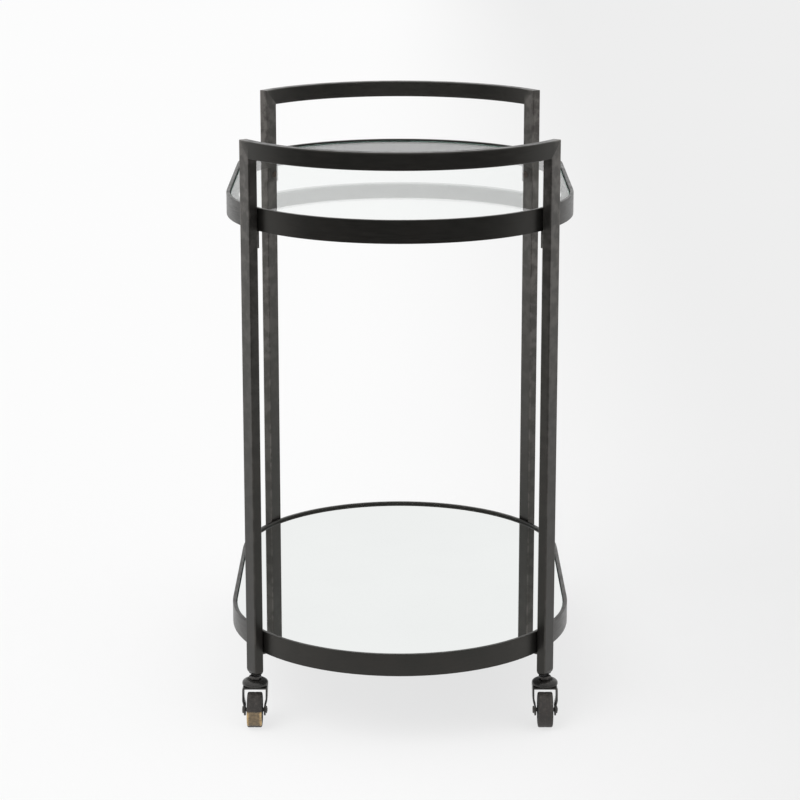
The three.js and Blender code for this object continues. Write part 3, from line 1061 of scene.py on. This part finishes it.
class BARCART_OT_brackets(bpy.types.Operator):
    """Sets the ears under the upper band and the tabs under the lower band at the four corners"""

    bl_idname = "barcart.brackets"
    bl_label = "Ears and tabs"

    def execute(self, context):
        tree = tree_named("Corner set", corner_set_tree)
        thick = 3 * MM
        height = EAR[1].z - EAR[0].z
        bm = bmesh.new()
        outline = [
            (-height / 2, -LUG_HALF), (height / 2, -LUG_HALF),
            (height / 2, LUG_HALF), (-height / 2, LUG_HALF),
        ]
        stand = Matrix.Translation(
            (SHELF_RADIUS - POST_RADIUS, 0, EAR_BOLT_Z),
        ) @ Matrix.Rotation(math.pi / 2, 4, "Y")
        drilled_plate(bm, outline, circle(0, 0, HOLE_RADIUS), -thick, 0, stand)
        ears = softened(make_object("band_ears", bm), 0.6 * MM)
        settle(
            grown(ears, tree, finish=finish_of("post")), "root", "black_metal",
            *corner_nodes("ring_ear"),
        )

        bm = bmesh.new()
        shift = Matrix.Translation((-POST_RADIUS, 0, 0))
        outline = lug_outline(SHELF_RADIUS, TAB_BOLT_RADIUS, LUG_HALF)
        drilled_plate(
            bm, outline, circle(TAB_BOLT_RADIUS, 0, HOLE_RADIUS), TAB[0].z, TAB[1].z, shift,
        )
        tabs = softened(make_object("band_tabs", bm), 0.5 * MM)
        settle(
            grown(tabs, tree, finish=finish_of("post")), "root", "black_metal",
            *corner_nodes("ring_tab"),
        )
        return {"FINISHED"}


def bolt_mesh(bm, head, length, place):
    """A domed socket bolt that stands along +Z from the underside of its head."""
    high = 4.2 * MM
    socket = 1.75 * MM
    profile = [
        (1.5 * MM, -high * 0.35), (socket, -high * 0.42), (socket, -high * 0.95),
        (socket * 1.25, -high),
    ]
    for degrees in (34, 46, 58, 70, 80):
        angle = math.radians(degrees)
        profile.append((head * math.sin(angle), -high * math.cos(angle) * 1.12))
    profile += [
        (head, -0.25 * MM), (head * 0.96, 0.0), (3.0 * MM, 0.0),
        (3.0 * MM, length - 0.6 * MM), (2.5 * MM, length),
    ]
    turned(bm, profile, 36, place, six_sided=(0, 1, 2))


class BARCART_OT_bolts(bpy.types.Operator):
    """Adds the domed socket bolts of the ears and the tabs"""

    bl_idname = "barcart.bolts"
    bl_label = "Bolts"

    def execute(self, context):
        tree = tree_named("Corner set", corner_set_tree)
        head = context.scene.barcart_sizes.bolt_head
        bm = bmesh.new()
        seat = SHELF_RADIUS - 3.3 * MM - POST_RADIUS
        bolt_mesh(
            bm, head, 8.3 * MM,
            Matrix.Translation((seat, 0, EAR_BOLT_Z)) @ Matrix.Rotation(math.pi / 2, 4, "Y"),
        )
        ears = make_object("ear_bolt_set", bm)
        settle(
            grown(ears, tree, finish=finish_of("bolt")), "root", "bolt_steel",
            *corner_nodes("ear_bolt"),
        )

        bm = bmesh.new()
        under = TAB[0].z - SEAT_GAP
        place = Matrix.Translation((TAB_BOLT_RADIUS - POST_RADIUS, 0, under))
        bolt_mesh(bm, head, LOWER_LEDGE[1].z - SEAT_GAP - under, place)
        tabs = make_object("tab_bolt_set", bm)
        settle(
            grown(tabs, tree, finish=finish_of("bolt")), "root", "bolt_steel",
            *corner_nodes("tab_bolt"),
        )
        return {"FINISHED"}


class BARCART_OT_feet(bpy.types.Operator):
    """Adds the foot plugs, the castor stems and the swivel cups"""

    bl_idname = "barcart.feet"
    bl_label = "Feet and cups"

    def execute(self, context):
        tree = tree_named("Corner set", corner_set_tree)
        sizes = context.scene.barcart_sizes
        bm = bmesh.new()
        loops = []
        flange = 2.5 * MM
        taper = sizes.foot_taper
        for inset, z in (
            (taper + 2.2 * MM, PLUG[0].z), (
                taper + 0.6 * MM, PLUG[0].z + 0.9 * MM,
            ), (taper, PLUG[0].z + flange),
            (
                taper + 1.7 * MM, PLUG[0].z + flange,
            ), (taper + 1.7 * MM, PLUG[1].z - 1 * MM), (taper + 2.4 * MM, PLUG[1].z),
        ):
            outline = rounded_rectangle(
                sizes.tube_thin - 2 * inset, sizes.tube_wide - 2 * inset, 0.9 * MM,
            )
            loops.append([(x, y, z) for x, y in outline])
        loop_skin(bm, loops)
        plugs = make_object("foot_plug_set", bm)
        settle(
            grown(plugs, tree, finish=finish_of("plastic")), "root", "black_plastic",
            *corner_nodes("foot_plug"),
        )

        bm = bmesh.new()
        cup_top = CUP[1].z
        collar = cup_top + 0.3 * MM
        turned(bm, [
            (5.4 * MM, STEM[0].z), (
                6.3 * MM, STEM[0].z + 0.4 * MM,
            ), (6.5 * MM, STEM[0].z + 1.6 * MM),
            (4 * MM, STEM[0].z + 1.6 * MM), (4 * MM, collar),
            (7.6 * MM, collar), (8 * MM, collar + 0.4 * MM), (8 * MM, collar + 3.8 * MM),
            (7.2 * MM, collar + 4.8 * MM), (6.2 * MM, collar + 5 * MM), (3 * MM, collar + 5 * MM),
            (3 * MM, STEM[1].z - 0.8 * MM), (2.4 * MM, STEM[1].z),
        ], 40, six_sided=(5, 6, 7, 8))
        stems = make_object("castor_stem_set", bm)
        settle(
            grown(stems, tree, finish=finish_of("castor")), "root", "castor_steel",
            *corner_nodes("castor_stem"),
        )

        bm = bmesh.new()
        low = CUP[0].z
        radius = (CUP[1].x - CUP[0].x) / 2
        dome = []
        for i in range(9):
            angle = math.pi / 2 * i / 8
            out = 9.5 * MM + (radius - 9.5 * MM) * math.cos(angle)
            dome.append((out, low + 2.6 * MM + (cup_top - low - 2.6 * MM) * math.sin(angle)))
        sheet = 1.4 * MM
        under = [(r - sheet if r > 12 * MM else r, z - sheet) for r, z in reversed(dome)]
        profile = [(radius - 0.5 * MM, low), (radius, low + 0.6 * MM)] + dome + [
            (4.6 * MM, cup_top), (4.6 * MM, cup_top - sheet),
        ] + under + [(radius - sheet, low)]
        turned(bm, profile, 56, closed=True)
        cups = make_object("swivel_cup_set", bm)
        settle(
            grown(cups, tree, finish=finish_of("castor")), "root", "castor_steel",
            *corner_nodes("castor_cup"),
        )
        return {"FINISHED"}


def fork_stations():
    """Outer surface of the bent fork as (x, z, normal x, normal z).

    It runs from one eye over the top to the other. The legs stand wide under the cup and step in just above the axle."""
    narrow = (FORK[1].x - FORK[0].x) / 2
    wide = narrow + 2.4 * MM
    top = FORK[1].z
    bend = 2.6 * MM
    step_low, step_high = WHEEL_RADIUS + 5 * MM, WHEEL_RADIUS + 14 * MM
    lean = math.atan2(wide - narrow, step_high - step_low)
    down = []
    for i in range(7):
        angle = math.pi / 2 * i / 6
        down.append((narrow, WHEEL_RADIUS - FORK_EYE * math.cos(angle * 0.985), 1.0, 0.0))
    down += [
        (narrow, step_low, math.cos(lean / 2), -math.sin(lean / 2)),
        (wide, step_high, math.cos(lean / 2), -math.sin(lean / 2)),
        (wide, top - bend - 3 * MM, 1.0, 0.0),
    ]
    for i in range(6):
        angle = math.pi / 2 * i / 5
        down.append((
            wide - bend + bend * math.cos(angle), top - bend + bend * math.sin(angle),
            math.cos(angle), math.sin(angle),
        ))
    return down + [(-x, z, -nx, nz) for x, z, nx, nz in reversed(down)]


def fork_edges(z):
    """Front and back edge of a fork leg at a height."""
    half = 15 * MM
    if z < WHEEL_RADIUS:
        width = math.sqrt(max(FORK_EYE ** 2 - (WHEEL_RADIUS - z) ** 2, (1 * MM) ** 2))
        return -TRAIL - width, -TRAIL + width
    climb = min((z - WHEEL_RADIUS) / (FORK[1].z - 2.4 * MM - WHEEL_RADIUS), 1.0)
    front = -TRAIL - FORK_EYE + climb * (TRAIL + FORK_EYE - half)
    back = -TRAIL + FORK_EYE + climb ** 1.25 * (TRAIL - FORK_EYE + half)
    return front, back


class BARCART_OT_forks(bpy.types.Operator):
    """Presses the four forks and fits their axles"""

    bl_idname = "barcart.forks"
    bl_label = "Forks and axles"

    def execute(self, context):
        sheet = 2.4 * MM
        shoulder = 15.7 * MM
        for name, end, side in CORNERS:
            place = castor_place(end, side)
            bm = bmesh.new()
            loops = []
            for x, z, nx, nz in fork_stations():
                front, back = fork_edges(z)
                loops.append([
                    place @ Vector(point) for point in (
                        (x, front, z), (x, back, z),
                        (x - sheet * nx, back, z - sheet * nz), (
                            x - sheet * nx, front, z - sheet * nz,
                        ),
                    )
                ])
            loop_skin(bm, loops)
            fork = softened(make_object(f"fork_{name}", bm, finish_of("castor")), 0.45 * MM)
            settle(fork, f"swivel_{name}", "castor_steel", f"castor_fork_{name}")

            bm = bmesh.new()
            turned(bm, [
                (
                    3.9 * MM, -shoulder - 2.2 * MM,
                ), (4.4 * MM, -shoulder - 1.8 * MM), (4.5 * MM, -shoulder),
                (3.0 * MM, -shoulder), (3.0 * MM, shoulder), (4.5 * MM, shoulder),
                (
                    4.5 * MM, shoulder + 1.5 * MM,
                ), (3.4 * MM, shoulder + 1.8 * MM), (2.9 * MM, shoulder + 1.8 * MM),
                (2.7 * MM, shoulder + 2.2 * MM),
            ], 36, place @ AXLE_PLACE, six_sided=(1, 2, 5, 6))
            axle = make_object(f"axle_{name}", bm, finish_of("castor"))
            settle(axle, f"swivel_{name}", "castor_steel", f"castor_axle_{name}")
        return {"FINISHED"}


class BARCART_OT_wheels(bpy.types.Operator):
    """Moulds the four ribbed hubs and their rubber treads"""

    bl_idname = "barcart.wheels"
    bl_label = "Wheels"

    def execute(self, context):
        ribs = context.scene.barcart_sizes.hub_ribs
        tree = tree_named("Round set", round_set_tree)
        boss = (HUB[1].x - HUB[0].x) / 2
        rim = (HUB[1].z - HUB[0].z) / 2
        wide = (TREAD[1].x - TREAD[0].x) / 2
        for name, end, side in CORNERS:
            place = castor_place(end, side) @ AXLE_PLACE
            bm = bmesh.new()
            half = [
                (
                    3.5 * MM, boss - 0.3 * MM,
                ), (3.9 * MM, boss), (7.0 * MM, boss), (7.8 * MM, boss - 0.8 * MM),
                (8.2 * MM, 4.6 * MM), (9.2 * MM, 4.0 * MM), (
                    15.0 * MM, 4.0 * MM,
                ), (16.2 * MM, 4.8 * MM),
                (17.0 * MM, 9.0 * MM), (18.0 * MM, 9.6 * MM), (rim, 9.5 * MM),
            ]
            turned(bm, half + [(r, -z) for r, z in reversed(half)], 56, place, closed=True)
            hub = make_object(f"hub_{name}", bm, finish_of("plastic"))

            bm = bmesh.new()
            for face in (-1, 1):
                loop_skin(bm, [
                    [(x * MM, y * MM, face * z * MM) for x, y in (
                        (-4.6, -w), (4.6, -w), (4.6, w), (-4.6, w),
                    )]
                    for w, z in ((1.0, 3.0), (0.85, 7.0), (0.5, 7.6))
                ])
            fins = grown(
                make_object(f"hub_ribs_{name}", bm), tree, count=ribs, radius=12.2 * MM,
                finish=finish_of("plastic"),
            )
            fins.data.transform(place)
            settle(hub, f"wheel_{name}", "black_plastic", f"castor_hub_{name}")
            settle(fins, f"wheel_{name}", "black_plastic")

            bm = bmesh.new()
            inner = WHEEL_RADIUS - 5 * MM
            outer = [
                (inner, wide - 0.4 * MM), (inner + 0.5 * MM, wide),
                (WHEEL_RADIUS - 2.2 * MM, wide),
            ]
            for i in range(1, 5):
                angle = math.pi / 2 * i / 4
                out = WHEEL_RADIUS - 2.2 * MM * (1 - math.sin(angle))
                outer.append((out, wide - 2.2 * MM * (1 - math.cos(angle))))
            outer += [(WHEEL_RADIUS, 1.1 * MM), (WHEEL_RADIUS - 0.25 * MM, 0.5 * MM)]
            turned(bm, outer + [(r, -z) for r, z in reversed(outer)], 72, place, closed=True)
            # The front-left tread gets the patch of painted light.
            marked = name == "front_left"
            tread = make_object(f"tread_{name}", bm, finish_of("worn tread" if marked else "tread"))
            settle(tread, f"wheel_{name}", "tread_rubber", f"castor_tread_{name}")
        return {"FINISHED"}


class BARCART_OT_welds(bpy.types.Operator):
    """Lays the short weld beads that hold the ledges, ears and tabs to the bands"""

    bl_idname = "barcart.welds"
    bl_label = "Welds"

    def execute(self, context):
        tree = tree_named("Weld bead", weld_bead_tree)
        ripples, pitch = 10, 1.1 * MM
        middle = Matrix.Translation((-(ripples - 1) * pitch / 2, 0, 0))
        inner = SHELF_RADIUS - 5.3 * MM
        places = []
        for low, _ in (UPPER_LEDGE, LOWER_LEDGE):
            for end in (-1, 1):
                for degrees in (0, 30, 60, 90, 120, 150, 180):
                    turn = math.radians(degrees) * end
                    spot = (
                        inner * math.cos(turn), end * STRAIGHT_HALF + inner * math.sin(turn),
                        low.z - 0.2 * MM,
                    )
                    places.append(
                        Matrix.Translation(spot) @ Matrix.Rotation(turn + math.pi / 2, 4, "Z"),
                    )
        for _, end, side in CORNERS:
            corner = corner_place(end, side)
            for y in (-10.3 * MM, 10.3 * MM):
                spot = Matrix.Translation((SHELF_RADIUS - 1.5 * MM, y, EAR[1].z - 0.4 * MM))
                places.append(
                    corner @ spot @ Matrix.Rotation(math.pi / 2, 4, "Y") @ Matrix.Scale(0.7, 4),
                )
                spot = Matrix.Translation((SHELF_RADIUS - 3 * MM, y, TAB[1].z))
                places.append(corner @ spot @ Matrix.Scale(0.55, 4))
        joined = bmesh.new()
        for number, place in enumerate(places):
            seed = bmesh.new()
            seed.verts.new((0, 0, 0))
            bead = grown(
                make_object("weld_bead", seed), tree, ripples=ripples, pitch=pitch, width=1.5 * MM,
                seed=number, finish=finish_of("weld"),
            )
            bead.data.transform(place @ middle)
            joined.from_mesh(bead.data)
            bpy.data.objects.remove(bead)
        settle(make_object("frame_welds", joined, finish_of("weld")), "root", "black_metal")
        return {"FINISHED"}


FLOOR_RADIUS = 40.0
CAMERA_LENS = 111.78
CAMERA_SHIFT = -0.07
CAMERA_PLACE = (0.0, -3.600, 1.340)
CAMERA_PITCH = math.radians(90 - 13.25)


class BARCART_OT_stage(bpy.types.Operator):
    """Sets the floor, the lights and the camera"""

    bl_idname = "barcart.stage"
    bl_label = "Stage"

    def execute(self, context):
        scene = context.scene
        bm = bmesh.new()
        bmesh.ops.create_circle(bm, cap_ends=True, radius=FLOOR_RADIUS, segments=64)
        floor = make_object("studio_floor", bm, finish_of("floor"))
        if floor.data.polygons[0].normal.z < 0:
            floor.data.flip_normals()

        world = bpy.data.worlds.new("Studio")
        scene.world = world
        world.use_nodes = True
        tree = world.node_tree
        background = tree.nodes["Background"]
        coordinate = tree.nodes.new("ShaderNodeTexCoord").outputs["Generated"]
        split = tree.nodes.new("ShaderNodeSeparateXYZ")
        tree.links.new(coordinate, split.inputs[0])
        toward = ranged(tree, split.outputs["Y"], -0.25, 0.30, 0.16, 0.93)
        toward = math_node(
            tree, "MAXIMUM", toward, ranged(tree, split.outputs["Z"], 0.04, 0.19, 0.0, 0.93),
        )
        path = tree.nodes.new("ShaderNodeLightPath")
        seen = mixed(
            tree, path.outputs["Is Camera Ray"], mixed(tree, toward, (0, 0, 0), (1.0, 1.0, 1.0)),
            (0.94, 0.94, 0.945),
        )
        tree.links.new(seen, background.inputs["Color"])
        background.inputs["Strength"].default_value = 1.0

        for name, strength, spread, aim in (
            ("Key", 1.10, 40, (math.radians(38), 0, math.radians(-52))),
            ("Fill", 0.45, 60, (math.radians(48), 0, math.radians(70))),
        ):
            sun = bpy.data.objects.new(name, bpy.data.lights.new(name, "SUN"))
            sun.data.energy = strength
            sun.data.angle = math.radians(spread)
            sun.visible_glossy = False
            sun.rotation_euler = aim
            scene.collection.objects.link(sun)

        camera = bpy.data.objects.new("Camera", bpy.data.cameras.new("Camera"))
        camera.data.sensor_width = 36.0
        camera.data.lens = CAMERA_LENS
        camera.data.shift_y = CAMERA_SHIFT
        camera.data.clip_end = 100.0
        camera.location = CAMERA_PLACE
        camera.rotation_euler = (CAMERA_PITCH, 0, 0)
        scene.collection.objects.link(camera)
        scene.camera = camera
        scene.view_settings.view_transform = "Standard"
        return {"FINISHED"}


OPERATORS = (
    BARCART_OT_rings,
    BARCART_OT_ledges,
    BARCART_OT_panels,
    BARCART_OT_posts,
    BARCART_OT_handles,
    BARCART_OT_brackets,
    BARCART_OT_bolts,
    BARCART_OT_feet,
    BARCART_OT_forks,
    BARCART_OT_wheels,
    BARCART_OT_welds,
    BARCART_OT_stage,
)


class BARCART_PT_panel(bpy.types.Panel):
    """Lists the cart's pieces, sizes and colours"""

    bl_idname = "BARCART_PT_panel"
    bl_label = "Bar Cart"
    bl_space_type = "VIEW_3D"
    bl_region_type = "UI"
    bl_category = "Bar Cart"

    def draw(self, context):
        for operator in OPERATORS:
            self.layout.operator(operator.bl_idname)
        for group in (context.scene.barcart_sizes, context.scene.barcart_finishes):
            box = self.layout.box()
            for name in group.bl_rna.properties.keys():
                if name not in ("rna_type", "name"):
                    box.prop(group, name)


CLASSES = (BARCART_Sizes, BARCART_Finishes, *OPERATORS, BARCART_PT_panel)


def register():
    for each in CLASSES:
        bpy.utils.register_class(each)
    bpy.types.Scene.barcart_sizes = PointerProperty(type=BARCART_Sizes)
    bpy.types.Scene.barcart_finishes = PointerProperty(type=BARCART_Finishes)


def unregister():
    del bpy.types.Scene.barcart_finishes
    del bpy.types.Scene.barcart_sizes
    for each in reversed(CLASSES):
        bpy.utils.unregister_class(each)


def main():
    register()
    for operator in OPERATORS:
        group, name = operator.bl_idname.split(".")
        if getattr(getattr(bpy.ops, group), name)() != {"FINISHED"}:
            raise RuntimeError(f"{operator.bl_label} did not finish")


if __name__ == "__main__":
    main()
